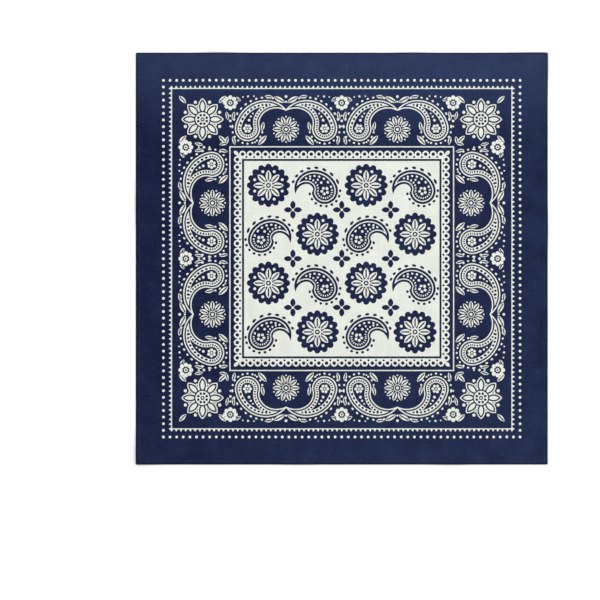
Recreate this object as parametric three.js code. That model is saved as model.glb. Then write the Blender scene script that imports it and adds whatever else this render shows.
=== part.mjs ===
// A cotton bandana laid flat, face up: one square of cloth whose four edges are turned
// under twice and sewn. The face runs over each hem and folds down round its outer edge.
// The two layers that are turned under make one strip on each side, hidden below the face.
// Millimetres, +X to the right and +Y to the far side of the square, +Z up. The origin is
// the middle of the square, on the surface that it lies on.
import * as THREE from "three";

// Driving dimensions
const SIDE = 559; // finished square, from edge to edge, which is 22 inches
const WALL = 1.0; // the face cloth's wall
const FOLD_WALL = 1.0; // the two turned-under layers together
const SEAM_GAP = 0.3; // between a hem's layers and the face that covers them
const HEM_WIDTH = 7.0; // how far in from the edge the face lies over a hem
const SLOPE_WIDTH = 4.0; // the face comes down from the hem to the surface over this width
const FOLD_ROUND = 1.0; // rounding of the folded outer edge, seen from the side
const CELLS = 28; // cells across the square inside the hems

// Where the cloth doesn't lie dead flat, it swells up a little. Each row is one swell:
// x, y is its middle, along is the direction of its crest in degrees, long and wide are
// its full reach along and across that crest, and high is its height.
const SWELLS = [
  { x: -168, y: 262, along: 84, long: 150, wide: 84, high: 2.2 },
  { x: 96, y: 270, along: 98, long: 120, wide: 70, high: 1.5 },
  { x: 268, y: 268, along: -45, long: 130, wide: 90, high: 2.6 },
  { x: 264, y: 40, along: 6, long: 140, wide: 86, high: 1.9 },
  { x: 150, y: -262, along: 82, long: 132, wide: 78, high: 1.8 },
  { x: -60, y: -266, along: 97, long: 112, wide: 66, high: 1.3 },
  { x: -270, y: -264, along: 45, long: 120, wide: 84, high: 2.3 },
  { x: -262, y: 70, along: -8, long: 138, wide: 92, high: 1.7 },
  { x: -70, y: 84, along: 36, long: 210, wide: 74, high: 0.9 },
  { x: 118, y: -74, along: 28, long: 190, wide: 70, high: 0.8 },
];

const HALF = SIDE / 2;
const HEM_TOP = FOLD_WALL + SEAM_GAP + WALL;
const RIM = WALL; // the folded outer edge is as thick as the cloth
const LIP = 0.25; // the inner side of the folded edge slants by this much

// The section of the face, from its outer edge inwards: how far in, and how high the
// cloth's top and under sides are there.
const FACE_SECTION = [
  { inset: 0, top: HEM_TOP - FOLD_ROUND, under: 0 },
  { inset: 0.3 * FOLD_ROUND, top: HEM_TOP - 0.3 * FOLD_ROUND, under: 0 },
  { inset: RIM, top: HEM_TOP, under: 0 },
  { inset: RIM + LIP, top: HEM_TOP, under: HEM_TOP - WALL },
  { inset: HEM_WIDTH, top: HEM_TOP, under: HEM_TOP - WALL },
  { inset: HEM_WIDTH + SLOPE_WIDTH, top: WALL, under: 0 },
];

// The section of the turned-under layers: a strip whose inner edge is a fold.
const FOLD_START = RIM + LIP + SEAM_GAP;
const FOLD_END = HEM_WIDTH - SEAM_GAP;
const FOLD_SECTION = [
  { inset: FOLD_START, height: 0 },
  { inset: FOLD_START, height: FOLD_WALL },
  { inset: FOLD_END - FOLD_WALL / 4, height: FOLD_WALL },
  { inset: FOLD_END, height: FOLD_WALL / 2 },
  { inset: FOLD_END - FOLD_WALL / 4, height: 0 },
];

// A smooth hump, 1 in the middle and 0 at half its reach and beyond.
function hump(distance, reach) {
  const share = Math.min(1, Math.abs(distance) / (reach / 2));
  return Math.cos((share * Math.PI) / 2) ** 2;
}

// How far the cloth is lifted off the surface at a place in the square.
function lift(x, y) {
  let height = 0;
  for (const swell of SWELLS) {
    const turn = THREE.MathUtils.degToRad(swell.along);
    const dx = x - swell.x;
    const dy = y - swell.y;
    const along = dx * Math.cos(turn) + dy * Math.sin(turn);
    const across = dy * Math.cos(turn) - dx * Math.sin(turn);
    height += swell.high * hump(along, swell.long) * hump(across, swell.wide);
  }
  return height;
}

// The square's grid lines across: the hem's section on both sides, and even cells between.
function gridLines() {
  const inner = HALF - FACE_SECTION.at(-1).inset;
  const lines = FACE_SECTION.slice(0, -1).map((row) => -HALF + row.inset);
  for (let i = 0; i <= CELLS; i++) lines.push(-inner + (2 * inner * i) / CELLS);
  for (const row of FACE_SECTION.slice(0, -1).reverse()) lines.push(HALF - row.inset);
  return lines;
}

const LINES = gridLines();

// The section's row at a grid point, by how far in from the nearest edge it is.
function sectionAt(x, y) {
  const inset = HALF - Math.max(Math.abs(x), Math.abs(y));
  const last = FACE_SECTION.at(-1);
  return FACE_SECTION.find((row) => inset < row.inset + LIP / 4) ?? last;
}

function solidFrom(points, triangles) {
  const geometry = new THREE.BufferGeometry();
  geometry.setAttribute("position", new THREE.Float32BufferAttribute(points, 3));
  geometry.setIndex(triangles);
  return geometry;
}

// The face: a top side and an under side on the same grid lines, joined round the edge.
function faceGeometry() {
  const count = LINES.length;
  const points = [];
  const triangles = [];
  for (const side of ["top", "under"])
    for (const y of LINES)
      for (const x of LINES) points.push(x, y, sectionAt(x, y)[side] + lift(x, y));

  const topPoint = (i, j) => j * count + i;
  const underPoint = (i, j) => count * count + topPoint(i, j);

  for (let j = 0; j < count - 1; j++)
    for (let i = 0; i < count - 1; i++) {
      const corners = [
        [i, j],
        [i + 1, j],
        [i + 1, j + 1],
        [i, j + 1],
      ];
      // Each cell is split towards the nearest corner of the square, as the hems are mitred.
      const towardsCorner = i < (count - 1) / 2 === j < (count - 1) / 2;
      const [a, b, c, d] = towardsCorner ? corners : [...corners.slice(1), corners[0]];
      triangles.push(topPoint(...a), topPoint(...b), topPoint(...c));
      triangles.push(topPoint(...a), topPoint(...c), topPoint(...d));
      triangles.push(underPoint(...a), underPoint(...c), underPoint(...b));
      triangles.push(underPoint(...a), underPoint(...d), underPoint(...c));
    }

  const last = count - 1;
  const rim = [];
  for (let k = 0; k < last; k++) rim.push([k, 0]);
  for (let k = 0; k < last; k++) rim.push([last, k]);
  for (let k = last; k > 0; k--) rim.push([k, last]);
  for (let k = last; k > 0; k--) rim.push([0, k]);
  rim.forEach((from, k) => {
    const to = rim[(k + 1) % rim.length];
    triangles.push(underPoint(...from), underPoint(...to), topPoint(...to));
    triangles.push(underPoint(...from), topPoint(...to), topPoint(...from));
  });
  return solidFrom(points, triangles);
}

// One side's turned-under strip, along +X at the near edge before it is turned into place.
// reach is how far each end is from the middle, and turn says which side it is on.
function foldGeometry(reach, turn) {
  const stations = [-reach, ...LINES.filter((x) => Math.abs(x) < reach - 1), reach];
  const corners = FOLD_SECTION.length;
  const points = [];
  const triangles = [];
  for (const along of stations)
    for (const { inset, height } of FOLD_SECTION) {
      const out = inset - HALF;
      const x = along * Math.cos(turn) - out * Math.sin(turn);
      const y = along * Math.sin(turn) + out * Math.cos(turn);
      points.push(x, y, height + lift(x, y));
    }
  for (let s = 0; s < stations.length - 1; s++)
    for (let k = 0; k < corners; k++) {
      const here = s * corners + k;
      const beside = s * corners + ((k + 1) % corners);
      triangles.push(here, beside + corners, beside);
      triangles.push(here, here + corners, beside + corners);
    }
  const end = (stations.length - 1) * corners;
  for (let k = 1; k < corners - 1; k++) {
    triangles.push(0, k, k + 1);
    triangles.push(end, end + k + 1, end + k);
  }
  return solidFrom(points, triangles);
}

const cottonFace = new THREE.MeshStandardMaterial({
  name: "printed_cotton",
  color: "#242c4d",
  roughness: 0.9,
  metalness: 0,
});
const cottonFold = new THREE.MeshStandardMaterial({
  name: "hem_cotton",
  color: "#262e50",
  roughness: 0.92,
  metalness: 0,
});

// The side hems run from end to end, and the other two fit between them.
const LONG_REACH = HALF - FOLD_START;
const SHORT_REACH = HALF - FOLD_END - SEAM_GAP;
const HEMS = [
  { name: "hem_near", turn: 0, reach: SHORT_REACH },
  { name: "hem_right", turn: Math.PI / 2, reach: LONG_REACH },
  { name: "hem_far", turn: Math.PI, reach: SHORT_REACH },
  { name: "hem_left", turn: -Math.PI / 2, reach: LONG_REACH },
];

const bandana = new THREE.Group();
bandana.name = "bandana";

const face = new THREE.Mesh(faceGeometry(), cottonFace);
face.name = "cloth_face";
bandana.add(face);

for (const { name, turn, reach } of HEMS) {
  const hem = new THREE.Mesh(foldGeometry(reach, turn), cottonFold);
  hem.name = name;
  bandana.add(hem);
}

export default bandana;
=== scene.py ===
import functools
import math

import bpy
import numpy as np
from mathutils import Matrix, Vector, noise


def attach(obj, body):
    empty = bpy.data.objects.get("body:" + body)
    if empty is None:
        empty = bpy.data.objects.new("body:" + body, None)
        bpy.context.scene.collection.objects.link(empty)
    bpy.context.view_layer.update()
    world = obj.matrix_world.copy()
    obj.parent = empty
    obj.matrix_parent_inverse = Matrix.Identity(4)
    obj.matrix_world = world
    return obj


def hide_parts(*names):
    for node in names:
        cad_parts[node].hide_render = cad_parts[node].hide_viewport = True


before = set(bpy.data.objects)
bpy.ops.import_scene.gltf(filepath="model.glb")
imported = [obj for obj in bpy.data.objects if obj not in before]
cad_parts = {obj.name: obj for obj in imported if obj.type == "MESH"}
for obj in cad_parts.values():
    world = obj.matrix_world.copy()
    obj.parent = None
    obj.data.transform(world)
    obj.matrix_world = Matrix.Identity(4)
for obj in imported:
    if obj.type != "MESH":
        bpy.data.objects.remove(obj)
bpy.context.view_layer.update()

# Camera
# The bandana is looked at from straight above through a long lens, as a flat product
# shot is. The square lies up and to the right of the picture's middle.
MM = 0.001  # one millimetre, in metres
SIDE = 559.0  # the finished square, 22 inches; sizes are in millimetres unless a line says metres
HALF = SIDE / 2
PICTURE_PIXELS = 600
SQUARE_PIXELS = 411.9  # the square's side in the picture
SQUARE_MIDDLE = (341.75, 258.65)  # and its middle, counted from the upper left
LENS, SENSOR = 85.0, 36.0
EDGE_HEIGHT = 0.8  # the folded outer edge is widest at this height

pixel = SIDE / SQUARE_PIXELS
camera_data = bpy.data.cameras.new("camera")
camera_data.lens = LENS
camera_data.sensor_width = SENSOR
camera = bpy.data.objects.new("camera", camera_data)
bpy.context.scene.collection.objects.link(camera)
camera.location = (
    (PICTURE_PIXELS / 2 - SQUARE_MIDDLE[0]) * pixel * MM,
    (SQUARE_MIDDLE[1] - PICTURE_PIXELS / 2) * pixel * MM,
    (PICTURE_PIXELS * pixel * LENS / SENSOR + EDGE_HEIGHT) * MM,
)
bpy.context.scene.camera = camera
bpy.context.scene.view_settings.view_transform = "Standard"

# Floor and light
# A plain white floor, lit by an even white surround and two soft boxes at the sides. A
# third, beyond the far edge, glances off the cloth there, which looks a little lighter.
FLOOR_SIDE = 12.0  # metres
FLOOR_WHITE = "#fcfcfb"
SURROUND = 0.6  # the strength of the white light from all round


def linear(colour):
    """An sRGB hex colour as the linear red, green, blue and alpha that Blender takes."""
    shares = [int(colour[i : i + 2], 16) / 255 for i in (1, 3, 5)]
    return (*(s / 12.92 if s <= 0.04045 else ((s + 0.055) / 1.055) ** 2.4 for s in shares), 1)


def add(tree, kind, inputs=(), take=None, **settings):
    """Adds a node with its settings and links, and returns the output that is asked for."""
    new = tree.nodes.new("ShaderNode" + kind)
    for name, value in settings.items():
        setattr(new, name, value)
    given = inputs.items() if isinstance(inputs, dict) else enumerate(inputs)
    for socket, value in given:
        if isinstance(value, bpy.types.NodeSocket):
            tree.links.new(value, new.inputs[socket])
        elif value is not None:
            new.inputs[socket].default_value = value
    if take is not None:
        return new.outputs[take]
    return next((out for out in new.outputs if out.enabled), None)


def new_material(name):
    """A material whose nodes are still to be added."""
    material = bpy.data.materials.new(name)
    material.use_nodes = True
    material.node_tree.nodes.clear()
    return material


bpy.ops.object.select_all(action="DESELECT")
bpy.ops.mesh.primitive_plane_add(size=FLOOR_SIDE)
floor = bpy.context.object
floor.name = "floor"

# Matt white paper, which is one even white all over and shows no reflection
paper = new_material("matt_white_paper_floor")
paper_surface = add(
    paper.node_tree,
    "BsdfPrincipled",
    {"Base Color": linear(FLOOR_WHITE), "Roughness": 0.9, "Specular IOR Level": 0.2},
)
add(paper.node_tree, "OutputMaterial", [paper_surface])
floor.data.materials.append(paper)

surround = bpy.data.worlds.new("even_white_surround")
surround.use_nodes = True
surround.node_tree.nodes["Background"].inputs["Color"].default_value = (1, 1, 1, 1)
surround.node_tree.nodes["Background"].inputs["Strength"].default_value = SURROUND
bpy.context.scene.world = surround


def soft_box(name, place, size, watts):
    """A square soft box that faces the middle of the cloth. Place and size are in metres."""
    box = bpy.data.lights.new(name, "AREA")
    box.shape = "SQUARE"
    box.size = size
    box.energy = watts
    lamp = bpy.data.objects.new(name, box)
    lamp.location = place
    lamp.rotation_euler = (-Vector(place)).to_track_quat("-Z", "Y").to_euler()
    bpy.context.scene.collection.objects.link(lamp)


soft_box("left_soft_box", place=(-1.6, -0.45, 1.5), size=1.2, watts=10.5)
soft_box("right_soft_box", place=(1.6, -0.4, 1.6), size=1.2, watts=16.5)
soft_box("far_soft_box", place=(0.15, 0.95, 1.5), size=0.7, watts=8.0)

# The printed square
# One square of plain-weave cotton with a traditional paisley print in navy and off-white.
# Its edges run over the hems that are turned under it and fold down round the outside. It
# lies almost flat: a few low swells, faint rolls, and small puckers where it is sewn.
CLOTH = 0.4  # thickness
CELL = 3.4  # the widest cell of the cloth's mesh
ROLL_HEIGHT, ROLL_SIZE = 0.35, 65.0
PUCKER_HEIGHT, PUCKER_SIZE = 0.45, 6.5
PUCKER_MIDDLE, PUCKER_REACH = 6.0, 3.6  # how far in from the edge, and how far to each side
PUCKER_END = 0.01  # puckers lower than this share of their height are left out
PUCKER_SLANT = 0.5  # they move along the edge by this share of how far in they are
ROLL_LAYER, PUCKER_LAYER = 3.7, 1.3  # the layers of the noise that the two are taken from
PUCKER_ROW = 40  # half the distance in the noise between the rows for two sides
CORNER_STACK = 0.35  # the hems cross in the corners, and the face is this much higher there
HEM_WIDTH = 7.0
STACK_REACH, STACK_SLOPE = HEM_WIDTH + 1.5, 2.5  # that ends this far in, after such a slope
OUTER_FOLD = 0.3  # and it leaves out the cloth this near to the edge
CORNER_ROUND = 1.8  # the radius of the square's corners

# How far in from the outer edge, and how high the face is there
HEM_ROWS = [
    (0.0, 0.78),
    (0.18, 1.1),
    (0.5, 1.37),
    (1.0, 1.54),
    (1.8, 1.63),
    (3.0, 1.65),
    (4.0, 1.6),
    (4.7, 1.49),
    (5.1, 1.44),
    (5.5, 1.46),
    (6.1, 1.46),
    (6.7, 1.36),
    (7.4, 1.06),
    (8.3, 0.7),
    (9.4, 0.47),
    (11.0, 0.4),
]
# The same for the edge of the face where it folds down and under
LIP_ROWS = [(0.2, 0.42), (0.5, 0.15), (1.0, 0.0)]

hem_insets, hem_heights = np.array(HEM_ROWS).T

# The swells of the cloth: the middle of each, its crest's direction in degrees, its full
# reach along and across the crest, and its height
SWELLS = [
    {"x": -168, "y": 262, "along": 84, "long": 150, "wide": 84, "high": 2.2},
    {"x": 96, "y": 270, "along": 98, "long": 120, "wide": 70, "high": 1.5},
    {"x": 268, "y": 268, "along": -45, "long": 130, "wide": 90, "high": 2.6},
    {"x": 264, "y": 40, "along": 6, "long": 140, "wide": 86, "high": 1.9},
    {"x": 150, "y": -262, "along": 82, "long": 132, "wide": 78, "high": 1.8},
    {"x": -60, "y": -266, "along": 97, "long": 112, "wide": 66, "high": 1.3},
    {"x": -270, "y": -264, "along": 45, "long": 120, "wide": 84, "high": 2.3},
    {"x": -262, "y": 70, "along": -8, "long": 138, "wide": 92, "high": 1.7},
    {"x": -70, "y": 84, "along": 36, "long": 210, "wide": 74, "high": 0.9},
    {"x": 118, "y": -74, "along": 28, "long": 190, "wide": 70, "high": 0.8},
]


def hump(distance, reach):
    """A smooth hump, 1 in the middle and 0 at half its reach and beyond."""
    share = np.minimum(1, np.abs(distance) / (reach / 2))
    return np.cos(share * math.pi / 2) ** 2


def random_waves(x, y, size, layer):
    """Smooth waves from 0 to 1 at these places, the same in each run."""
    places = zip(x / size, y / size)
    return np.array([noise.noise(Vector((a, b, layer))) for a, b in places]) / 2 + 0.5


def lift(x, y):
    """How far the cloth is off the floor, in millimetres."""
    height = ROLL_HEIGHT * random_waves(x, y, ROLL_SIZE, ROLL_LAYER)
    for swell in SWELLS:
        turn = math.radians(swell["along"])
        dx, dy = x - swell["x"], y - swell["y"]
        along = dx * math.cos(turn) + dy * math.sin(turn)
        across = dy * math.cos(turn) - dx * math.sin(turn)
        height = height + swell["high"] * hump(along, swell["long"]) * hump(across, swell["wide"])
    return height


def sewn_face(x, y):
    """How much the sewing puckers the face, and the crossed hems raise its corners."""
    inset_x, inset_y = HALF - np.abs(x), HALF - np.abs(y)
    inset = np.minimum(inset_x, inset_y)
    beside = inset_x < inset_y  # nearest to the left or right hem

    # Each side's puckers are taken from a row of the noise of its own
    along = np.where(beside, y, x) + PUCKER_SLANT * inset
    row = PUCKER_ROW * np.where(beside, np.sign(x), 3 * np.sign(y))
    near = np.exp(-(((inset - PUCKER_MIDDLE) / PUCKER_REACH) ** 2))
    pucker = np.zeros_like(x)
    sewn = near > PUCKER_END
    pucker[sewn] = random_waves(along[sewn], row[sewn], PUCKER_SIZE, PUCKER_LAYER)
    crossed = np.clip((STACK_REACH - np.maximum(inset_x, inset_y)) / STACK_SLOPE, 0, 1)
    return PUCKER_HEIGHT * pucker * near + CORNER_STACK * crossed * (inset > OUTER_FOLD)


def face_top(x, y):
    """How high the top of the face is, away from its outer fold."""
    inset = HALF - np.maximum(np.abs(x), np.abs(y))
    return np.interp(inset, hem_insets, hem_heights) + sewn_face(x, y) + lift(x, y)


def points_of(mesh):
    """The mesh's points in millimetres, a row each."""
    found = np.empty(len(mesh.vertices) * 3)
    mesh.vertices.foreach_get("co", found)
    return found.reshape(-1, 3) / MM


def place_points(mesh, points):
    """Moves the mesh's points to these places, in millimetres."""
    mesh.vertices.foreach_set("co", (points * MM).ravel())
    mesh.update()


def flat_map(mesh, points):
    """A UV map that holds each point's place in the finished square, from 0 to 1."""
    while mesh.uv_layers:
        mesh.uv_layers.remove(mesh.uv_layers[0])
    layer = mesh.uv_layers.new(name="square")
    corners = np.empty(len(mesh.loops), int)
    mesh.loops.foreach_get("vertex_index", corners)
    layer.uv.foreach_set("vector", (points[corners, :2] / SIDE + 0.5).ravel())


def thickened(piece, thickness, offset, wrong_side=0):
    """Gives a sheet its thickness and smooths it.

    An offset of -1 puts the thickness beneath the sheet, and 0 half of it on each side.
    wrong_side is the slot of the material beneath.
    """
    bpy.ops.object.select_all(action="DESELECT")
    piece.select_set(True)
    bpy.context.view_layer.objects.active = piece
    wall = piece.modifiers.new("cloth thickness", "SOLIDIFY")
    wall.thickness = thickness * MM
    wall.offset = offset
    wall.material_offset = wrong_side
    wall.use_even_offset = True
    bpy.ops.object.modifier_apply(modifier=wall.name)
    bpy.ops.object.shade_smooth()


flat_reach = HALF - hem_insets[-1]
flat_lines = np.linspace(-flat_reach, flat_reach, math.ceil(2 * flat_reach / CELL) + 1)
hem_lines = hem_insets[:-1] - HALF
lines = np.concatenate([hem_lines, flat_lines, -hem_lines[::-1]])

bpy.ops.object.select_all(action="DESELECT")
bpy.ops.mesh.primitive_grid_add(
    x_subdivisions=len(lines) - 1, y_subdivisions=len(lines) - 1, size=SIDE * MM
)
face = bpy.context.object
face.name = "printed_square"
at = points_of(face.data)
steps = np.rint((at[:, :2] / SIDE + 0.5) * (len(lines) - 1)).astype(int)
at[:, :2] = lines[steps]
place_points(face.data, at)

bpy.ops.object.mode_set(mode="EDIT")
bpy.ops.mesh.select_all(action="SELECT")
bpy.ops.mesh.region_to_loop()
reached = HALF
for inset, _ in LIP_ROWS:
    bpy.ops.mesh.extrude_region_move()
    shrink = (HALF - inset) / reached
    bpy.ops.transform.resize(value=(shrink, shrink, 1), center_override=(0, 0, 0))
    bpy.ops.transform.translate(value=(0, 0, -MM))  # apart from the rows above, for now
    reached = HALF - inset
bpy.ops.object.mode_set(mode="OBJECT")

at = points_of(face.data)
x, y = at[:, 0], at[:, 1]
on_lip = np.rint(-at[:, 2]).astype(int)
at[:, 2] = face_top(x, y)
for row, (_, height) in enumerate(LIP_ROWS, start=1):
    folded = on_lip == row
    at[folded, 2] = height + lift(x[folded], y[folded])

# The last bit of each corner is drawn in onto an arc
from_arc = np.maximum(0, CORNER_ROUND - (HALF - np.abs(at[:, :2])))
rounded = from_arc.min(axis=1) > 0
shorter = from_arc.max(axis=1)[rounded] / np.hypot(*from_arc[rounded].T)
pulled_in = from_arc[rounded] * (1 - shorter[:, None])
flat_map(face.data, at)
at[rounded, :2] -= np.sign(at[rounded, :2]) * pulled_in
place_points(face.data, at)

# The print is drawn in millimetres from the square's middle. x and y are where a point
# is, out is how far it is from the middle towards the nearest edge, and side is how far
# it is along that edge from the edge's middle, so each motif is repeated on every side.
NAVY_INK, OFF_WHITE = 0.0, 1.0
SPREAD = 0.18  # the navy dye creeps this far into the off-white
RAGGED = 0.28  # the cloth's threads leave the edges of the print uneven by this much
RAGGED_WAVES = 0.6  # waves of that to a millimetre
CURL_START = 3.0  # how far up a paisley the tight inner side of its curl begins

print_tree = bpy.data.node_groups.new("paisley_print", "ShaderNodeTree")
print_tree.interface.new_socket("place", in_out="INPUT", socket_type="NodeSocketVector")
print_tree.interface.new_socket("off_white", in_out="OUTPUT", socket_type="NodeSocketFloat")
draw = functools.partial(add, print_tree)


def apart(x, y, at=(0.0, 0.0)):
    """How far a point is from a place."""
    if at[0]:
        x = draw("Math", [x, at[0]], operation="SUBTRACT")
    if at[1]:
        y = draw("Math", [y, at[1]], operation="SUBTRACT")
    return draw("VectorMath", [draw("CombineXYZ", [x, y])], "Value", operation="LENGTH")


def turned(x, y, at, degrees):
    """The coordinates from a place, along axes turned by an angle."""
    x = draw("Math", [x, at[0]], operation="SUBTRACT")
    y = draw("Math", [y, at[1]], operation="SUBTRACT")
    cos, sin = math.cos(math.radians(degrees)), math.sin(math.radians(degrees))
    x_part = draw("Math", [x, cos], operation="MULTIPLY")
    y_part = draw("Math", [x, -sin], operation="MULTIPLY")
    return (
        draw("Math", [y, sin, x_part], operation="MULTIPLY_ADD"),
        draw("Math", [y, cos, y_part], operation="MULTIPLY_ADD"),
    )


def paint(ink, colour, shape, within=0.0):
    """Prints a colour wherever the distance from a shape is less than within."""
    if colour == OFF_WHITE:
        there = draw("Math", [shape, within - SPREAD], operation="LESS_THAN")
        return draw("Math", [ink, there], operation="MAXIMUM")
    there = draw("Math", [shape, within + SPREAD], operation="LESS_THAN")
    return draw("Math", [ink, there], operation="SUBTRACT", use_clamp=True)


def stripe(ink, colour, shape, middle, width):
    """Prints a stripe that follows a shape's outline at a distance from it."""
    off_line = draw("Math", [shape, middle], operation="SUBTRACT")
    return paint(ink, colour, draw("Math", [off_line], operation="ABSOLUTE"), width / 2)


def beads(along, across, pitch, middle=0.0):
    """How far a point is from the nearest of a row of beads."""
    return apart(draw("Math", [along, pitch / 2], operation="PINGPONG"), across, (0, middle))


def petals(x, y, count):
    """Folds a flower onto one petal: the ways out along it and aside, and from the middle."""
    middle = apart(x, y)
    angle = draw("Math", [y, x], operation="ARCTAN2")
    angle = draw("Math", [angle, 2 * math.pi], operation="ADD")
    angle = draw("Math", [angle, math.pi / count], operation="PINGPONG")
    cos = draw("Math", [angle], operation="COSINE")
    sin = draw("Math", [angle], operation="SINE")
    along = draw("Math", [middle, cos], operation="MULTIPLY")
    aside = draw("Math", [middle, sin], operation="MULTIPLY")
    return along, aside, middle


def leaf(aside, along, middle, length, width):
    """How far a point is from a pointed leaf, whose middle is this far along."""
    bow = (length**2 - width**2) / (4 * width)
    aside = draw("Math", [aside], operation="ABSOLUTE")
    round_middle = apart(aside, along, (-bow, middle))
    return draw("Math", [round_middle, bow + width / 2], operation="SUBTRACT")


def veined(ink, colour, shape, aside, vein=1.3, inset=1.1):
    """Prints a leaf, with a vein in the other colour down its middle."""
    ink = paint(ink, colour, shape)
    beside = draw("Math", [aside], operation="ABSOLUTE")
    beside = draw("Math", [beside, vein / 2], operation="SUBTRACT")
    short = draw("Math", [shape, inset], operation="ADD")
    short = draw("Math", [short, beside], operation="MAXIMUM")
    return paint(ink, OFF_WHITE - colour, short)


def teardrop(x, y, head, reach, curl):
    """A paisley: a round head and a tail that tapers to a point and curls round.

    Returns how far a point is from its outline, how far along the outline it is, how far
    it is to the side of the middle line, and how far up that line from the head's middle.
    """
    up = draw("Math", [y, 0.0], operation="GREATER_THAN")
    over = draw("Math", [curl, x], operation="SUBTRACT")
    round_curl = apart(over, y)
    bent_x = draw("Math", [curl, round_curl], operation="SUBTRACT")
    angle = draw("Math", [y, over], operation="ARCTAN2")
    bent_y = draw("Math", [angle, curl], operation="MULTIPLY")
    aside = draw("Mix", [up, None, x, bent_x])
    along = draw("Mix", [up, None, y, bent_y])

    slope = head / reach
    rise = math.sqrt(1 - slope**2)
    width = draw("Math", [aside], operation="ABSOLUTE")
    tail_way = draw("Math", [width, -slope], operation="MULTIPLY")
    tail_way = draw("Math", [along, rise, tail_way], operation="MULTIPLY_ADD")
    tail_side = draw("Math", [along, slope, -head], operation="MULTIPLY_ADD")
    tail_side = draw("Math", [width, rise, tail_side], operation="MULTIPLY_ADD")
    head_side = draw("Math", [apart(aside, along), head], operation="SUBTRACT")
    in_tail = draw("Math", [tail_way, 0.0], operation="GREATER_THAN")
    outline = draw("Mix", [in_tail, None, head_side, tail_side])

    down = draw("Math", [along, -1.0], operation="MULTIPLY")
    head_way = draw("Math", [width, down], operation="ARCTAN2")
    head_way = draw("Math", [head_way, head], operation="MULTIPLY")
    whole_head = head * (math.pi / 2 + math.asin(slope))
    tail_way = draw("Math", [tail_way, whole_head], operation="ADD")
    way = draw("Mix", [in_tail, None, head_way, tail_way])
    return outline, way, aside, along


def beside_tip(beads_there, size, along, last):
    """A row of beads of a size, which stops before the paisley's tip."""
    beads_there = draw("Math", [beads_there, size], operation="SUBTRACT")
    past = draw("Math", [along, last], operation="SUBTRACT")
    return draw("Math", [beads_there, past], operation="MAXIMUM")


def outside_curl(shape, aside, along):
    """Leaves a shape out of the tight inner side of the paisley's curl."""
    inner = draw("Math", [along, CURL_START], operation="SUBTRACT")
    inner = draw("Math", [aside, inner], operation="MINIMUM")
    return draw("Math", [shape, inner], operation="MAXIMUM")


# Where a point is, with the ragged edges that the threads leave
place = print_tree.nodes.new("NodeGroupInput").outputs["place"]
ragged = draw("TexNoise", {"Vector": place, "Scale": RAGGED_WAVES, "Detail": 1.0}, "Color")
ragged = draw("VectorMath", [ragged, (0.5, 0.5, 0.5)], operation="SUBTRACT")
ragged = draw("VectorMath", {0: ragged, "Scale": 2 * RAGGED}, operation="SCALE")
place = draw("VectorMath", [place, ragged], operation="ADD")
x = draw("SeparateXYZ", [place], "X")
y = draw("SeparateXYZ", [place], "Y")
from_middle = draw("VectorMath", [place], operation="ABSOLUTE")
from_x = draw("SeparateXYZ", [from_middle], "X")
from_y = draw("SeparateXYZ", [from_middle], "Y")
out = draw("Math", [from_x, from_y], operation="MAXIMUM")
side = draw("Math", [from_x, from_y], operation="MINIMUM")

# Outer frame: a row of dots outside a toothed line
DOT_ROW, TOOTHED_LINE = 242.0, 231.0
DOTS_HALF_SIDE, TEETH_HALF_SIDE = 27, 36  # how many from the side's middle to its corner
TOOTH_OUT = 0.8  # a tooth's middle is this far out from the line's

dots = beads(side, out, pitch=DOT_ROW / DOTS_HALF_SIDE, middle=DOT_ROW)
frame_ink = paint(NAVY_INK, OFF_WHITE, dots, within=2.0)
frame_ink = stripe(frame_ink, OFF_WHITE, out, middle=TOOTHED_LINE, width=1.7)
tooth_pitch = TOOTHED_LINE / TEETH_HALF_SIDE
tooth_side = draw("Math", [side, tooth_pitch / 2], operation="PINGPONG")
teeth = leaf(tooth_side, out, middle=TOOTHED_LINE + TOOTH_OUT, length=6.2, width=3.2)
outward = draw("Math", [TOOTHED_LINE, out], operation="SUBTRACT")
teeth = draw("Math", [teeth, outward], operation="MAXIMUM")
frame_ink = paint(frame_ink, OFF_WHITE, teeth)

# Inner frame: a plain line, and a scalloped band with an eyelet in each scallop and a
# pinhole between each two
INNER_LINE, SCALLOP_BASE, BAND_EDGE = 151.8, 141.8, 135.2
SCALLOPS_HALF_SIDE = 14
PAST_CORNER = 3.1  # the last scallop's middle is this far past the corner of the base
PINHOLE_IN = 0.5  # a pinhole's middle is this far in from the band's

scallop_pitch = (SCALLOP_BASE + PAST_CORNER) / SCALLOPS_HALF_SIDE
band_middle = (SCALLOP_BASE + BAND_EDGE) / 2
frame_ink = stripe(frame_ink, OFF_WHITE, out, middle=INNER_LINE, width=1.9)
frame_ink = stripe(frame_ink, OFF_WHITE, out, band_middle, width=SCALLOP_BASE - BAND_EDGE)
eyelets = beads(side, out, scallop_pitch, middle=SCALLOP_BASE)
scallops = draw("Math", [eyelets, 4.8], operation="SUBTRACT")
scallop_foot = draw("Math", [band_middle, out], operation="SUBTRACT")
scallops = draw("Math", [scallops, scallop_foot], operation="MAXIMUM")
frame_ink = paint(frame_ink, OFF_WHITE, scallops)
frame_ink = paint(frame_ink, NAVY_INK, eyelets, within=2.2)
between = draw("Math", [side, scallop_pitch / 2], operation="ADD")
pinholes = beads(between, out, scallop_pitch, middle=band_middle - PINHOLE_IN)
frame_ink = paint(frame_ink, NAVY_INK, pinholes, within=1.25)

# Border: pairs of big paisleys whose tips meet over a daisy. The border is folded onto one
# paisley: u runs along the edge, from where two pairs meet to the middle of a pair, and v
# runs outwards from the border's middle.
BORDER_MIDDLE, PAIR = 189.0, 75.6
DAISY_AT, DAISY_PETALS = (PAIR, -13.5), 10

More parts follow.
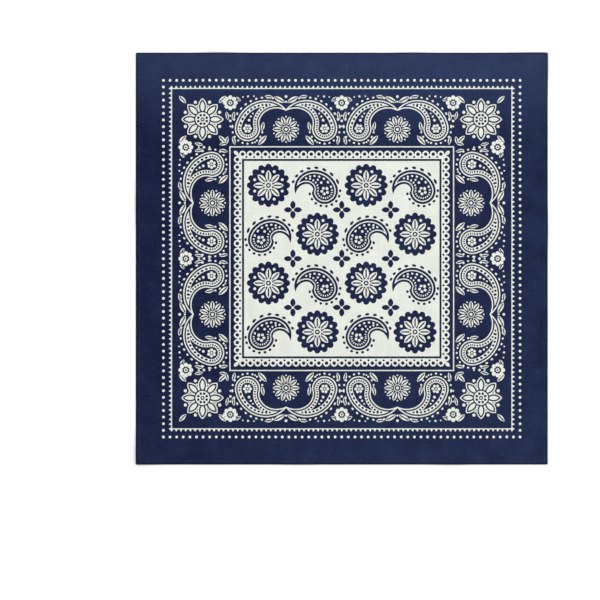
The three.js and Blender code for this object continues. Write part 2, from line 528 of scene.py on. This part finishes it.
u = draw("Math", [side, PAIR], operation="PINGPONG")
v = draw("Math", [out, BORDER_MIDDLE], operation="SUBTRACT")
head_x, head_y = turned(u, v, at=(23.3, -12.3), degrees=0)
outline, way, aside, along = teardrop(head_x, head_y, head=17.3, reach=76.0, curl=32.0)
pair_ink = stripe(NAVY_INK, OFF_WHITE, outline, middle=-1.0, width=2.0)
pair_ink = paint(pair_ink, OFF_WHITE, outline, within=-3.6)
pair_ink = paint(pair_ink, NAVY_INK, beads(way, outline, pitch=4.9, middle=-6.5), within=1.35)
pair_ink = paint(pair_ink, NAVY_INK, outline, within=-9.0)
bud_along, bud_aside, bud_middle = petals(aside, along, count=6)
pair_ink = paint(pair_ink, OFF_WHITE, apart(bud_along, bud_aside, at=(4.2, 0)), within=2.1)
pair_ink = paint(pair_ink, OFF_WHITE, bud_middle, within=1.5)
for up_tail, size in ((11.5, 2.0), (17.0, 1.6), (22.0, 1.3)):
    pair_ink = paint(pair_ink, OFF_WHITE, apart(aside, along, at=(0, up_tail)), size)
fringe = beads(way, outline, pitch=5.7, middle=3.4)
fringe = beside_tip(fringe, 1.4, along, last=62.0)
pair_ink = paint(pair_ink, OFF_WHITE, outside_curl(fringe, aside, along))

daisy_x, daisy_y = turned(u, v, DAISY_AT, degrees=0)
petal_along, petal_aside, petal_middle = petals(daisy_x, daisy_y, DAISY_PETALS)
petal = leaf(petal_aside, petal_along, middle=12.0, length=12.5, width=6.4)
pair_ink = veined(pair_ink, OFF_WHITE, petal, petal_aside, vein=1.4)
pair_ink = paint(pair_ink, OFF_WHITE, petal_middle, within=5.2)
pair_ink = stripe(pair_ink, NAVY_INK, petal_middle, middle=3.0, width=1.6)
gap_x, gap_y = turned(u, v, DAISY_AT, degrees=180 / DAISY_PETALS)
gap_along, gap_aside, _ = petals(gap_x, gap_y, DAISY_PETALS)
pair_ink = paint(pair_ink, OFF_WHITE, apart(gap_along, gap_aside, at=(17.2, 0)), within=1.25)

# Leaves and seeds that fill the ground round the paisleys: each leaf's place, turn, length
# and width, and each seed's place and radius
for at_leaf, degrees, length, width in (
    ((43.5, -28.2), -42, 17.0, 6.8),
    ((44.0, -9.5), -10, 13.0, 5.2),
    ((66.6, 26.8), 62, 17.0, 6.8),
    ((52.4, 30.8), 80, 12.0, 4.8),
):
    leaf_x, leaf_y = turned(u, v, at_leaf, degrees)
    shape = leaf(leaf_x, leaf_y, 0, length, width)
    pair_ink = veined(pair_ink, OFF_WHITE, shape, leaf_x)
for at_seed, size in (
    ((PAIR, 31.0), 2.0),
    ((PAIR, 24.0), 1.5),
    ((33.5, -31.0), 1.3),
    ((24.0, 31.2), 1.6),
    ((32.0, 31.6), 1.2),
    ((17.0, 30.5), 1.2),
):
    pair_ink = paint(pair_ink, OFF_WHITE, apart(u, v, at_seed), size)
within_pairs = draw("Math", [side, 2 * PAIR], operation="LESS_THAN")
pair_ink = draw("Math", [pair_ink, within_pairs], operation="MULTIPLY")

# Leaves, seeds and blossoms where two pairs meet, and between a pair and a corner
MEETING_REACH = 12.0
meeting_ink = NAVY_INK
for at_leaf, degrees, length, width in (
    ((9.2, 27.8), 62, 12.0, 5.2),
    ((4.8, -28.6), 12, 12.0, 5.0),
    ((4.2, 5.0), -12, 12.0, 4.8),
):
    leaf_x, leaf_y = turned(u, v, at_leaf, degrees)
    shape = leaf(leaf_x, leaf_y, 0, length, width)
    meeting_ink = veined(meeting_ink, OFF_WHITE, shape, leaf_x)
for at_seed, size in (((0, -2.0), 1.9), ((0, -9.5), 1.4), ((0, 5.0), 1.4)):
    meeting_ink = paint(meeting_ink, OFF_WHITE, apart(u, v, at_seed), size)
blossom_x, blossom_y = turned(u, v, at=(0, 22.6), degrees=0)
petal_along, petal_aside, petal_middle = petals(blossom_x, blossom_y, count=8)
round_petal = apart(petal_along, petal_aside, at=(7.2, 0))
meeting_ink = paint(meeting_ink, NAVY_INK, round_petal, within=3.9)
meeting_ink = paint(meeting_ink, OFF_WHITE, round_petal, within=3.0)
meeting_ink = paint(meeting_ink, OFF_WHITE, petal_middle, within=2.8)
meeting_ink = paint(meeting_ink, NAVY_INK, petal_middle, within=1.0)
near_meeting = draw("Math", [side, 2 * PAIR + MEETING_REACH], operation="LESS_THAN")
meeting_ink = draw("Math", [meeting_ink, near_meeting], operation="MULTIPLY")
border_ink = draw("Math", [pair_ink, meeting_ink], operation="MAXIMUM")

# Corners: a sunflower, with a leaf beyond it on each diagonal
FLOWER_AT, FLOWER_PETALS, FLOWER_REACH = (BORDER_MIDDLE, BORDER_MIDDLE), 8, 36.0
corner_x, corner_y = turned(side, out, FLOWER_AT, degrees=0)
petal_along, petal_aside, flower_middle = petals(corner_x, corner_y, FLOWER_PETALS)
petal = leaf(petal_aside, petal_along, middle=17.2, length=23.6, width=12.8)
corner_ink = paint(NAVY_INK, OFF_WHITE, petal)
corner_ink = paint(corner_ink, NAVY_INK, petal, within=-1.8)
corner_ink = paint(corner_ink, OFF_WHITE, petal, within=-3.4)
corner_ink = paint(corner_ink, NAVY_INK, flower_middle, within=11.2)
corner_ink = paint(corner_ink, OFF_WHITE, flower_middle, within=9.8)
gap_x, gap_y = turned(side, out, FLOWER_AT, degrees=180 / FLOWER_PETALS)
gap_along, gap_aside, _ = petals(gap_x, gap_y, FLOWER_PETALS)
corner_ink = paint(corner_ink, NAVY_INK, apart(gap_along, gap_aside, at=(6.2, 0)), within=1.6)
corner_ink = paint(corner_ink, NAVY_INK, flower_middle, within=2.6)
corner_ink = paint(corner_ink, OFF_WHITE, flower_middle, within=1.4)
corner_ink = paint(corner_ink, OFF_WHITE, apart(gap_along, gap_aside, at=(25.2, 0)), within=2.3)
corner_ink = paint(corner_ink, OFF_WHITE, apart(gap_along, gap_aside, at=(19.9, 0)), within=1.4)
aside_x = draw("Math", [corner_x], operation="ABSOLUTE")
aside_y = draw("Math", [corner_y], operation="ABSOLUTE")
leaf_x, leaf_y = turned(aside_x, aside_y, at=(27.0, 27.0), degrees=-45)
shape = leaf(leaf_x, leaf_y, 0, length=14.0, width=6.0)
corner_ink = veined(corner_ink, OFF_WHITE, shape, leaf_x)
in_corner = draw("Math", [corner_x, -FLOWER_REACH], operation="GREATER_THAN")
corner_ink = draw("Math", [corner_ink, in_corner], operation="MULTIPLY")
border_ink = draw("Math", [border_ink, corner_ink], operation="MAXIMUM")
in_border = draw("Math", [out, INNER_LINE], operation="GREATER_THAN")
border_ink = draw("Math", [border_ink, in_border], operation="MULTIPLY")

# Field: on an off-white ground, navy paisleys and navy scalloped rounds with a flower,
# by turns in rows and columns. Each other row is moved along by one motif, and its
# paisleys are turned over.
FIELD_EDGE, MOTIFS = 132.6, 4  # how many motifs are in a row
motif = 2 * FIELD_EDGE / MOTIFS

row = draw("Math", [y, 1 / motif], operation="MULTIPLY")
row = draw("Math", [row], operation="FLOOR")
odd_row = draw("Math", [row, 1.0], operation="PINGPONG")
shifted = draw("Math", [odd_row, motif, x], operation="MULTIPLY_ADD")
column = draw("Math", [shifted, 0.5 / motif, 0.25], operation="MULTIPLY_ADD")
column = draw("Math", [column], operation="FLOOR")
motif_x = draw("Math", [column, -2 * motif, shifted], operation="MULTIPLY_ADD")
motif_x = draw("Math", [motif_x, motif / 2], operation="SUBTRACT")
motif_y = draw("Math", [row, -motif, y], operation="MULTIPLY_ADD")
motif_y = draw("Math", [motif_y, motif / 2], operation="SUBTRACT")
facing = draw("Math", [odd_row, -2.0, 1.0], operation="MULTIPLY_ADD")
facing_x = draw("Math", [motif_x, facing], operation="MULTIPLY")
head_x, head_y = turned(facing_x, motif_y, at=(-10.2, -7.5), degrees=-6)
outline, way, aside, along = teardrop(head_x, head_y, head=17.6, reach=62.5, curl=20.0)
field_ink = paint(OFF_WHITE, NAVY_INK, outline)
field_ink = stripe(field_ink, OFF_WHITE, outline, middle=-3.6, width=1.8)
tail_beads = beads(way, outline, pitch=5.5, middle=-7.8)
field_ink = paint(field_ink, OFF_WHITE, beside_tip(tail_beads, 1.55, along, last=37.4))
bud_along, bud_aside, _ = petals(aside, along, count=5)
field_ink = paint(field_ink, OFF_WHITE, apart(bud_along, bud_aside, at=(4.1, 0)), within=2.1)
for up_tail, size in ((12.5, 1.9), (18.5, 1.5)):
    field_ink = paint(field_ink, OFF_WHITE, apart(aside, along, at=(0, up_tail)), size)
fringe = beads(way, outline, pitch=6.5, middle=3.2)
fringe = beside_tip(fringe, 1.55, along, last=52.0)
field_ink = paint(field_ink, NAVY_INK, outside_curl(fringe, aside, along))

SCALLOPS, ROUND_PETALS = 16, 8
round_x = draw("Math", [motif_x], operation="ABSOLUTE")
round_x = draw("Math", [round_x, motif], operation="SUBTRACT")
scallop_along, scallop_aside, round_middle = petals(round_x, motif_y, SCALLOPS)
scallops = apart(scallop_along, scallop_aside, at=(25.2, 0))
field_ink = paint(field_ink, NAVY_INK, round_middle, within=25.6)
field_ink = paint(field_ink, NAVY_INK, scallops, within=4.0)
petal_along, petal_aside, petal_middle = petals(round_x, motif_y, ROUND_PETALS)
petal = leaf(petal_aside, petal_along, middle=12.8, length=16.0, width=8.0)
field_ink = veined(field_ink, OFF_WHITE, petal, petal_aside, vein=1.5, inset=1.6)
field_ink = paint(field_ink, OFF_WHITE, petal_middle, within=5.6)
field_ink = paint(field_ink, NAVY_INK, petal_middle, within=3.2)
field_ink = paint(field_ink, OFF_WHITE, petal_middle, within=1.7)
gap_x, gap_y = turned(round_x, motif_y, at=(0, 0), degrees=180 / ROUND_PETALS)
gap_along, gap_aside, _ = petals(gap_x, gap_y, ROUND_PETALS)
field_ink = paint(field_ink, OFF_WHITE, apart(gap_along, gap_aside, at=(20.2, 0)), within=2.1)

# Small four-petalled blossoms where four motifs meet, but not along the field's edge
blossom_x = draw("Math", [x, motif / 2], operation="PINGPONG")
blossom_y = draw("Math", [y, motif / 2], operation="PINGPONG")
petal_along, petal_aside, petal_middle = petals(blossom_x, blossom_y, count=4)
petal = leaf(petal_aside, petal_along, middle=6.6, length=11.0, width=6.8)
inward = draw("Math", [out, FIELD_EDGE - motif / 3], operation="SUBTRACT")
petal = draw("Math", [petal, inward], operation="MAXIMUM")
field_ink = paint(field_ink, NAVY_INK, petal)
field_ink = paint(field_ink, OFF_WHITE, petal_middle, within=1.8)
in_field = draw("Math", [out, FIELD_EDGE], operation="LESS_THAN")
field_ink = draw("Math", [field_ink, in_field], operation="MULTIPLY")

all_ink = draw("Math", [frame_ink, border_ink], operation="MAXIMUM")
all_ink = draw("Math", [all_ink, field_ink], operation="MAXIMUM")
print_tree.links.new(all_ink, print_tree.nodes.new("NodeGroupOutput").inputs["off_white"])

# Cotton that was printed on one side. The face is deep navy, with an off-white print, and
# painted light makes the cloth lighter along the far edge, a little along the near one, and to
# the right. The wrong side, where the dye only comes through, has the same print paler and greyer.
DEEP_NAVY, PALE_NAVY, PRINT_OFF_WHITE = "#091539", "#283558", "#e0e3da"
WRONG_DEEP_NAVY, WRONG_PALE_NAVY, WRONG_OFF_WHITE = "#3a4464", "#4a5475", "#cbcdc6"
LINT_COLOUR = "#8b92a8"
# From where to where across the square painted light makes the navy lighter, and by what
# share of the way from the deep navy to the pale one
FAR_RUN, FAR_PAINTED_LIGHT = (150.0, HALF), 0.68
NEAR_RUN, NEAR_PAINTED_LIGHT = (-120.0, -240.0), 0.12
RIGHT_RUN, RIGHT_PAINTED_LIGHT = (-HALF, 60.0), (0.02, 0.26)
MOTTLE_SIZE, MOTTLE_DYE, MOTTLE_SHADE = 26.0, 0.6, 0.05  # mottling of the dye and its shade
YARN_WIDTH, YARN_LENGTH, SLUBS = 1.7, 34.0, 0.04  # stretches of yarn that are thick or thin
SLUB_RELIEF = 0.8  # how much the thick stretches stand up
LINT_SIZE, LINT, LINT_ON_SLUBS = 4.0, 0.03, 0.25  # its clumps, amount, and hold on slubs
LINT_RUN = (0.78, 1.05)  # from where in its noise to where the lint gets thicker
DRAWN_PITCH = 1.5  # the yarns are 0.42 mm apart, too fine for the picture, so drawn coarser
STRAY, STRAY_WAVES = 2.6, 0.09  # how far they stray, and waves of that to a millimetre
WEAVE_RELIEF = 0.16
CROWN = 1.5  # the relief's value at the yarns' crowns, where it is 0 in the gaps
GAP_PAINTED_SHADE = 0.17  # how much painted shade darkens the gaps between the yarns
CROWN_PAINTED_HIGHLIGHT = GAP_PAINTED_SHADE / 3  # and how much a painted highlight lightens the yarns' crowns
NOISE_RUN, TWO_NOISES_RUN = (0.3, 0.7), (0.7, 1.3)  # what one noise, or two, mostly keeps to
FOLD_RUN, FOLD_SHADE = (HALF - 2.9, HALF - 1.5), 0.52  # painted shade makes the folded outer edge this dark


def place_in_square(tree):
    """Where a point is in the finished square, in millimetres from its middle."""
    square = add(tree, "UVMap", uv_map="square")
    from_middle = (-HALF, -HALF, 0)
    return add(tree, "VectorMath", [square, (SIDE, SIDE, 0), from_middle], operation="MULTIPLY_ADD")


def cotton(name, deep, pale, at, dyed=None):
    """Woven cotton between two navies, with painted light and shade, slubs, lint and the weave in
    relief.

    at adds the nodes for a point's place in millimetres, and dyed those that change the dye.
    """
    material = new_material(name)
    weave = functools.partial(add, material.node_tree)
    place = at(material.node_tree)

    # Painted light: the navy moves from the deep shade towards the pale by where in the square
    # the cloth is, and broad mottling varies it at random
    up = weave("SeparateXYZ", [place], "Y")
    right = weave("SeparateXYZ", [place], "X")
    far = weave("MapRange", [up, *FAR_RUN, 0.0, FAR_PAINTED_LIGHT], interpolation_type="SMOOTHSTEP")
    near = weave("MapRange", [up, *NEAR_RUN, 0.0, NEAR_PAINTED_LIGHT], interpolation_type="SMOOTHSTEP")
    painted_light_and_mottle = weave("MapRange", [right, *RIGHT_RUN, *RIGHT_PAINTED_LIGHT])
    painted_light_and_mottle = weave("Math", [painted_light_and_mottle, far], operation="ADD")
    painted_light_and_mottle = weave("Math", [painted_light_and_mottle, near], operation="ADD")
    mottle = weave("TexNoise", {"Vector": place, "Scale": 1 / MOTTLE_SIZE, "Detail": 3.0}, 0)
    painted_light_and_mottle = weave("Math", [mottle, MOTTLE_DYE, painted_light_and_mottle], operation="MULTIPLY_ADD")
    painted_light_and_mottle = weave("Math", [painted_light_and_mottle, MOTTLE_DYE / 2], operation="SUBTRACT")
    dye = weave("Mix", {0: painted_light_and_mottle, 6: linear(deep), 7: linear(pale)}, 2, data_type="RGBA")

    # Yarns that are thick or thin over part of their length, running both ways
    narrow, long = 1 / YARN_WIDTH, 1 / YARN_LENGTH
    weft = weave("VectorMath", [place, (long, narrow, 1.0)], operation="MULTIPLY")
    weft = weave("TexNoise", {"Vector": weft, "Scale": 1.0, "Detail": 1.0}, 0)
    warp = weave("VectorMath", [place, (narrow, long, 1.0)], operation="MULTIPLY")
    warp = weave("TexNoise", {"Vector": warp, "Scale": 1.0, "Detail": 1.0}, 0)
    yarns = weave("Math", [weft, warp], operation="ADD")

    # The weave: each yarn goes over one and under the next, pulled a little askew
    askew = weave("TexNoise", {"Vector": place, "Scale": STRAY_WAVES, "Detail": 2.0}, "Color")
    askew = weave("VectorMath", {0: askew, "Scale": STRAY}, operation="SCALE")
    askew = weave("VectorMath", [askew, place], operation="ADD")
    askew = weave("VectorMath", {0: askew, "Scale": math.pi / DRAWN_PITCH}, operation="SCALE")
    askew = weave("VectorMath", [askew], operation="SINE")
    round_warp = weave("SeparateXYZ", [askew], "X")
    round_weft = weave("SeparateXYZ", [askew], "Y")
    over = weave("Math", [round_warp, round_weft], operation="MULTIPLY")
    under = weave("Math", [1.0, over], operation="SUBTRACT")
    over = weave("Math", [over, 1.0], operation="ADD")
    round_warp = weave("Math", [round_warp], operation="ABSOLUTE")
    round_weft = weave("Math", [round_weft], operation="ABSOLUTE")
    warp_top = weave("Math", [round_warp, over], operation="MULTIPLY")
    weft_top = weave("Math", [round_weft, under], operation="MULTIPLY")
    relief = weave("Math", [warp_top, weft_top], operation="MAXIMUM")

    # Lint and undyed fibre ends, in clumps along the yarns, show pale on the navy
    clumps = {"Vector": place, "Scale": 1 / LINT_SIZE, "Detail": 5.0, "Roughness": 0.7}
    lint = weave("TexNoise", clumps, 0)
    lint = weave("Math", [yarns, LINT_ON_SLUBS, lint], operation="MULTIPLY_ADD")
    lint = weave("MapRange", [lint, *LINT_RUN, 0.0, 2 * LINT])
    dye = weave("Mix", {0: lint, 6: dye, 7: linear(LINT_COLOUR)}, 2, data_type="RGBA")
    if dyed:
        dye = dyed(material.node_tree, place, dye)

    # Light and dark: slubs and mottling at random, painted shade in the gaps between the yarns
    # with a painted highlight on their crowns, and painted shade along the folded outer edge
    slubs = weave("MapRange", [yarns, *TWO_NOISES_RUN, 1 - SLUBS, 1 + SLUBS])
    mottle = weave("MapRange", [mottle, *NOISE_RUN, 1 - MOTTLE_SHADE, 1 + MOTTLE_SHADE])
    painted_weave_shading = weave("MapRange", [relief, 0.0, CROWN, 1 - GAP_PAINTED_SHADE, 1 + CROWN_PAINTED_HIGHLIGHT])
    from_middle = weave("VectorMath", [place], operation="ABSOLUTE")
    from_x = weave("SeparateXYZ", [from_middle], "X")
    from_y = weave("SeparateXYZ", [from_middle], "Y")
    out = weave("Math", [from_x, from_y], operation="MAXIMUM")
    painted_fold_shade = weave("MapRange", [out, *FOLD_RUN, 1.0, FOLD_SHADE])
    shade = weave("Math", [slubs, mottle], operation="MULTIPLY")
    shade = weave("Math", [shade, painted_weave_shading], operation="MULTIPLY")
    shade = weave("Math", [shade, painted_fold_shade], operation="MULTIPLY")
    dye = weave("VectorMath", {0: dye, "Scale": shade}, operation="SCALE")

    relief = weave("Math", [yarns, SLUB_RELIEF, relief], operation="MULTIPLY_ADD")
    bump = weave("Bump", {"Height": relief, "Strength": 0.7, "Distance": WEAVE_RELIEF * MM})
    finish = {
        "Base Color": dye,
        "Normal": bump,
        "Roughness": 0.55,
        "IOR": 1.53,
        "Specular IOR Level": 0.08,
        "Sheen Weight": 0.02,
        "Sheen Roughness": 0.5,
    }
    weave("OutputMaterial", [weave("BsdfPrincipled", finish)])
    return material


def with_print(off_white, tree, place, dye):
    """Leaves the paisley print off-white in the dye."""
    group = tree.nodes.new("ShaderNodeGroup")
    group.node_tree = print_tree
    tree.links.new(place, group.inputs["place"])
    inputs = {0: group.outputs["off_white"], 6: dye, 7: linear(off_white)}
    return add(tree, "Mix", inputs, 2, data_type="RGBA")


face_cotton = cotton(
    "plain_weave_cotton_printed_face",
    DEEP_NAVY,
    PALE_NAVY,
    place_in_square,
    functools.partial(with_print, PRINT_OFF_WHITE),
)
wrong_side_cotton = cotton(
    "plain_weave_cotton_wrong_side_of_print",
    WRONG_DEEP_NAVY,
    WRONG_PALE_NAVY,
    place_in_square,
    functools.partial(with_print, WRONG_OFF_WHITE),
)
face.data.materials.append(face_cotton)
face.data.materials.append(wrong_side_cotton)
thickened(face, CLOTH, offset=-1, wrong_side=1)
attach(face, "root")
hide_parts("cloth_face")

# Hems
# The cloth's four edges are turned under twice, to a strip of two layers 7 mm wide with a
# fold along its inner edge. From beneath it shows the plain navy face of the margin. The
# left and right hems run the whole side, and the near and far ones fit between them.
HEM_CLOTH = 0.36
HEM_CELL = 4.0  # the cells of a hem's mesh along the side
MARGIN_DEEP_NAVY, MARGIN_PALE_NAVY = "#141c3d", "#1a2447"
LONG_REACH, SHORT_REACH = 278.4, 272.95  # from the side's middle to the hem's end

# A section of the hem, from its outer end in the lower layer round the inner fold: how far
# in from the outer edge, and how high the middle of the cloth is
HEM_SECTION = [
    (1.1, 0.24),
    (2.2, 0.2),
    (3.6, 0.2),
    (4.6, 0.24),
    (5.1, 0.3),
    (5.6, 0.26),
    (6.05, 0.29),
    (6.28, 0.48),
    (6.05, 0.68),
    (5.4, 0.74),
    (4.0, 0.76),
    (2.6, 0.76),
    (1.5, 0.76),
]


def place_in_millimetres(tree):
    """Where a point is, in millimetres from the square's middle."""
    spot = add(tree, "TexCoord", take="Object")
    return add(tree, "VectorMath", {0: spot, "Scale": 1 / MM}, operation="SCALE")


def onto_side(x, y, degrees):
    """A place at the near side of the square, turned about its middle to another side."""
    cos, sin = math.cos(math.radians(degrees)), math.sin(math.radians(degrees))
    return x * cos - y * sin, x * sin + y * cos


# The same cotton where it isn't printed: plain navy, more even than the face and as matt
hem_cotton = cotton(
    "plain_weave_cotton_navy_margin", MARGIN_DEEP_NAVY, MARGIN_PALE_NAVY, place_in_millimetres
)
section = np.array(HEM_SECTION)
for side_name, turn, reach in (
    ("near", 0, SHORT_REACH),
    ("right", 90, LONG_REACH),
    ("far", 180, SHORT_REACH),
    ("left", 270, LONG_REACH),
):
    cells = math.ceil(2 * reach / HEM_CELL)
    bpy.ops.object.select_all(action="DESELECT")
    bpy.ops.mesh.primitive_grid_add(
        x_subdivisions=cells, y_subdivisions=len(section) - 1, size=MM
    )
    hem = bpy.context.object
    hem.name = side_name + "_turned_hem"
    share = points_of(hem.data)[:, :2] + 0.5
    along = reach * (2 * share[:, 0] - 1)
    inset, height = section[np.rint(share[:, 1] * (len(section) - 1)).astype(int)].T
    x, y = onto_side(along, inset - HALF, turn)
    place_points(hem.data, np.stack([x, y, height + lift(x, y)], axis=1))
    hem.data.materials.append(hem_cotton)
    thickened(hem, HEM_CLOTH, offset=0)
    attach(hem, "root")
    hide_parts("hem_" + side_name)

# Stitching
# One row of lockstitch in navy sewing thread holds the hems down all round, and turns at
# the corners. On top and beneath, each stitch lies between two needle holes and is drawn
# down into the cloth at both. A few stitches are sewn twice where the row starts and ends.
STITCH_INSET = 5.1  # the row is this far in from the edge
STITCH = 2.6  # about how long a stitch is: a whole number of them fills a side
THREAD = 0.28
STITCH_ARCH = 0.14  # the ends of a stitch are this much lower than its middle
STITCH_REST = 0.14  # the middle of the thread is this far above the face
START = -214.0  # where along the near side the row starts and ends
START_STITCHES, START_ASIDE = 6, 0.34  # this many are sewn again, this far beside the first

row_length = 2 * (HALF - STITCH_INSET)
row_stitches = round(row_length / STITCH)
stitch_pitch = row_length / row_stitches

bpy.ops.object.select_all(action="DESELECT")
bpy.ops.mesh.primitive_uv_sphere_add(
    segments=6, ring_count=6, radius=THREAD / 2 * MM, rotation=(0, math.pi / 2, 0)
)
bpy.ops.object.transform_apply(rotation=True)
bpy.ops.object.mode_set(mode="EDIT")
bpy.ops.transform.resize(value=(stitch_pitch / THREAD, 1, 1), center_override=(0, 0, 0))
bpy.ops.object.mode_set(mode="OBJECT")
stitch = bpy.context.object
at = points_of(stitch.data)
at[:, 2] -= STITCH_ARCH * (2 * at[:, 0] / stitch_pitch) ** 2
place_points(stitch.data, at)


def sewn_row(count, start, aside, turn, above):
    """A row of stitches on the face, or beneath. turn is its side's, in degrees."""
    bpy.ops.object.select_all(action="DESELECT")
    stitch.select_set(True)
    bpy.context.view_layer.objects.active = stitch
    bpy.ops.object.duplicate()
    sewn = bpy.context.object
    repeat = sewn.modifiers.new("stitches", "ARRAY")
    repeat.count = count
    repeat.use_relative_offset = False
    repeat.use_constant_offset = True
    repeat.constant_offset_displace = (stitch_pitch * MM, 0, 0)
    bpy.ops.object.modifier_apply(modifier=repeat.name)
    points = points_of(sewn.data)
    along = points[:, 0] + start + stitch_pitch / 2
    line_x, line_y = onto_side(along, STITCH_INSET - HALF + aside, turn)
    if above:
        rest = face_top(line_x, line_y) + STITCH_REST
    else:
        rest = lift(line_x, line_y) + THREAD / 2
        points = points * (1, -1, -1)  # turned over, round its length
    wide_x, wide_y = onto_side(0, points[:, 1], turn)
    at = np.stack([line_x + wide_x, line_y + wide_y, rest + points[:, 2]], axis=1)
    place_points(sewn.data, at)
    return sewn


rows = [
    sewn_row(row_stitches, -row_length / 2, aside=0, turn=turn, above=above)
    for turn in (0, 90, 180, 270)
    for above in (True, False)
]
rows += [
    sewn_row(START_STITCHES, START, START_ASIDE, turn=0, above=above) for above in (True, False)
]
bpy.data.objects.remove(stitch)
bpy.ops.object.select_all(action="DESELECT")
for sewn in rows:
    sewn.select_set(True)
stitching = rows[0]
bpy.context.view_layer.objects.active = stitching
bpy.ops.object.join()
stitching.name = "hem_lockstitching"
bpy.ops.object.shade_smooth()

# Spun polyester-cotton thread of two twisted plies: matt, with a slight sheen on the twist,
# and painted shade in the grooves between the plies
TWIST = 0.7  # the plies turn once in about this length, drawn at its real size
PLY_RELIEF = 0.05
# The plies' own navy, and the darker navy painted as shade in the grooves between them
PLY_NAVY, GROOVE_PAINTED_SHADE_NAVY = "#36426e", "#141d42"
WAVE_TURN = math.pi / 10  # the scale at which a wave texture has one band to a unit
thread = new_material("navy_spun_sewing_thread")
twine = functools.partial(add, thread.node_tree)
spot = place_in_millimetres(thread.node_tree)
plies = {"Vector": spot, "Scale": WAVE_TURN / TWIST}
twist = twine("TexWave", plies, 1, bands_direction="DIAGONAL")
plies_with_painted_grooves = twine(
    "Mix", {0: twist, 6: linear(GROOVE_PAINTED_SHADE_NAVY), 7: linear(PLY_NAVY)}, 2, data_type="RGBA"
)
ply_relief = twine("Bump", {"Height": twist, "Strength": 0.4, "Distance": PLY_RELIEF * MM})
ply_finish = {
    "Base Color": plies_with_painted_grooves,
    "Normal": ply_relief,
    "Roughness": 0.55,
    "IOR": 1.53,
    "Specular IOR Level": 0.35,
    "Sheen Weight": 0.1,
}
twine("OutputMaterial", [twine("BsdfPrincipled", ply_finish)])
stitching.data.materials.clear()
stitching.data.materials.append(thread)
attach(stitching, "root")
